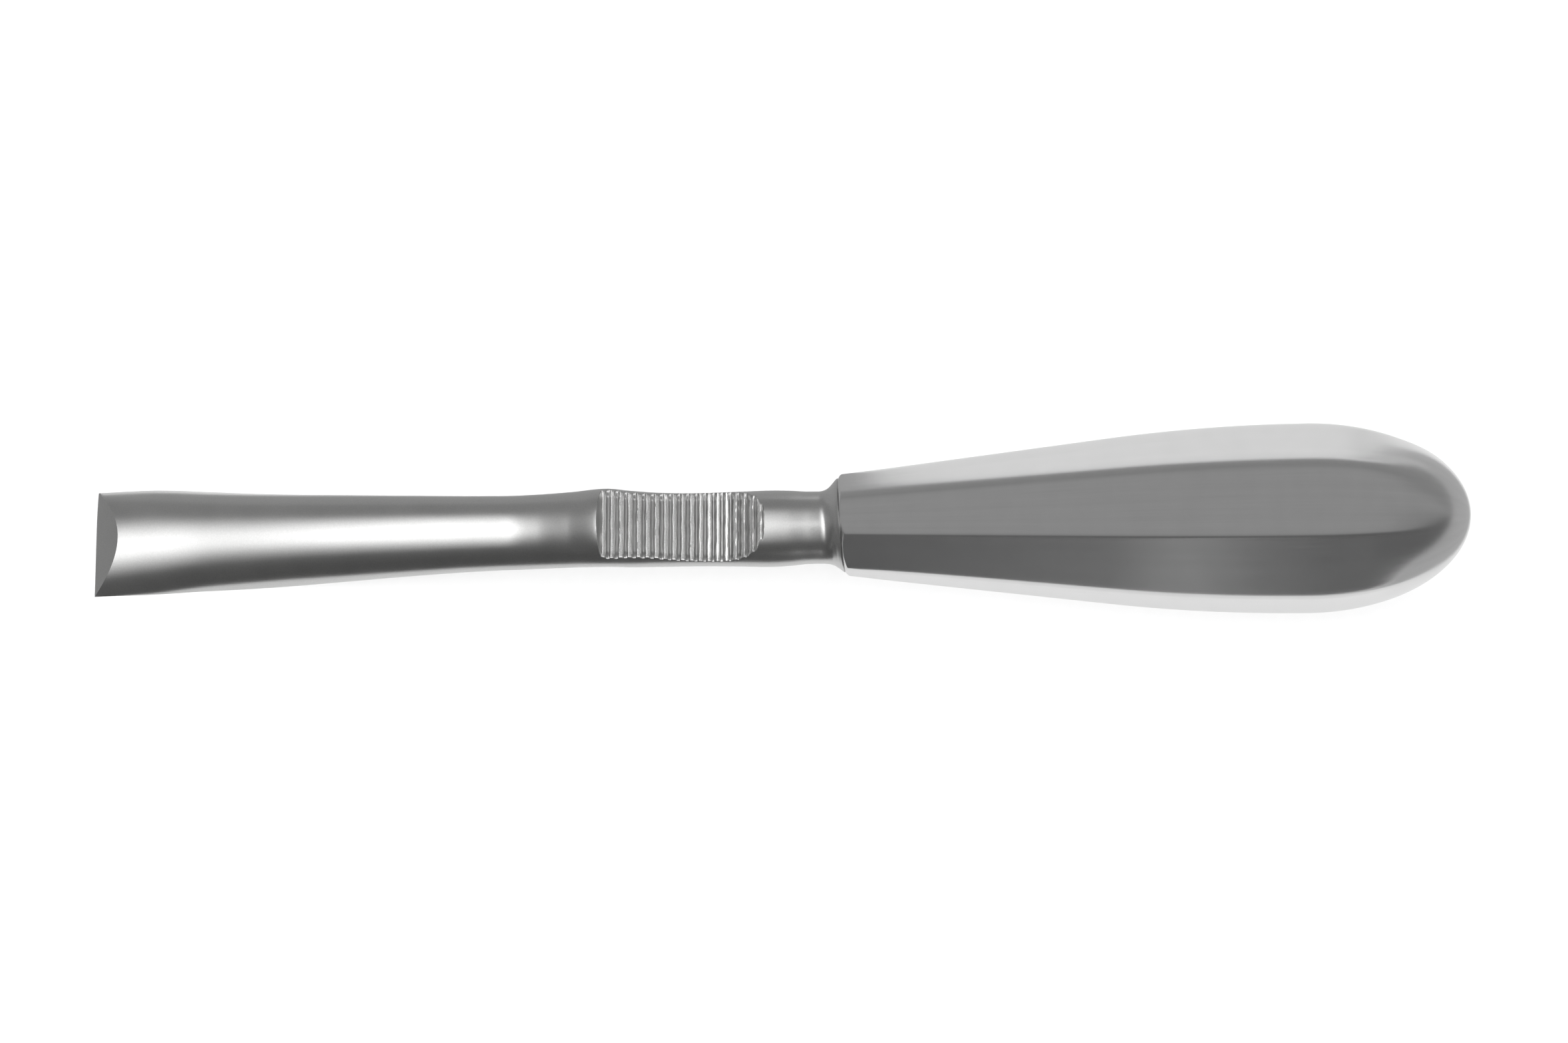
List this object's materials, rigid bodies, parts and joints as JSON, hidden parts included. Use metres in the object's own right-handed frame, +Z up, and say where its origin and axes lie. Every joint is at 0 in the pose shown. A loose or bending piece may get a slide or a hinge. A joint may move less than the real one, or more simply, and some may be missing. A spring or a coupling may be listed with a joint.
{
  "type": "dental elevator",
  "caption": "Straight dental elevator: half-round blade with an end bevel, ribbed finger rest and a hollow octagonal pear handle, lying at rest.",
  "frame": {"origin": "middle of the tool's length and width, on the surface that it lies on", "axes": "+X from the blade towards the handle, +Z up from the surface; the tool's own axis lies in the XZ plane and climbs 3.85 degrees towards the handle"},
  "size_m": [0.152, 0.0198, 0.0202],
  "materials": {
    "satin_steel": "satin blasted stainless steel",
    "brushed_handle_steel": "brushed stainless steel, polished towards the ends",
    "braze_filler": "as flowed, hidden",
    "turned_steel": "turned, hidden inside the handle"
  },
  "bodies": {
    "root": {"working_end": "satin_steel", "handle_shell_upper": "brushed_handle_steel", "handle_shell_lower": "brushed_handle_steel", "braze_ring": "braze_filler", "tang_collar": "turned_steel", "tang_pin": "turned_steel", "tang_end_support": "turned_steel"}
  },
  "joints": []
}
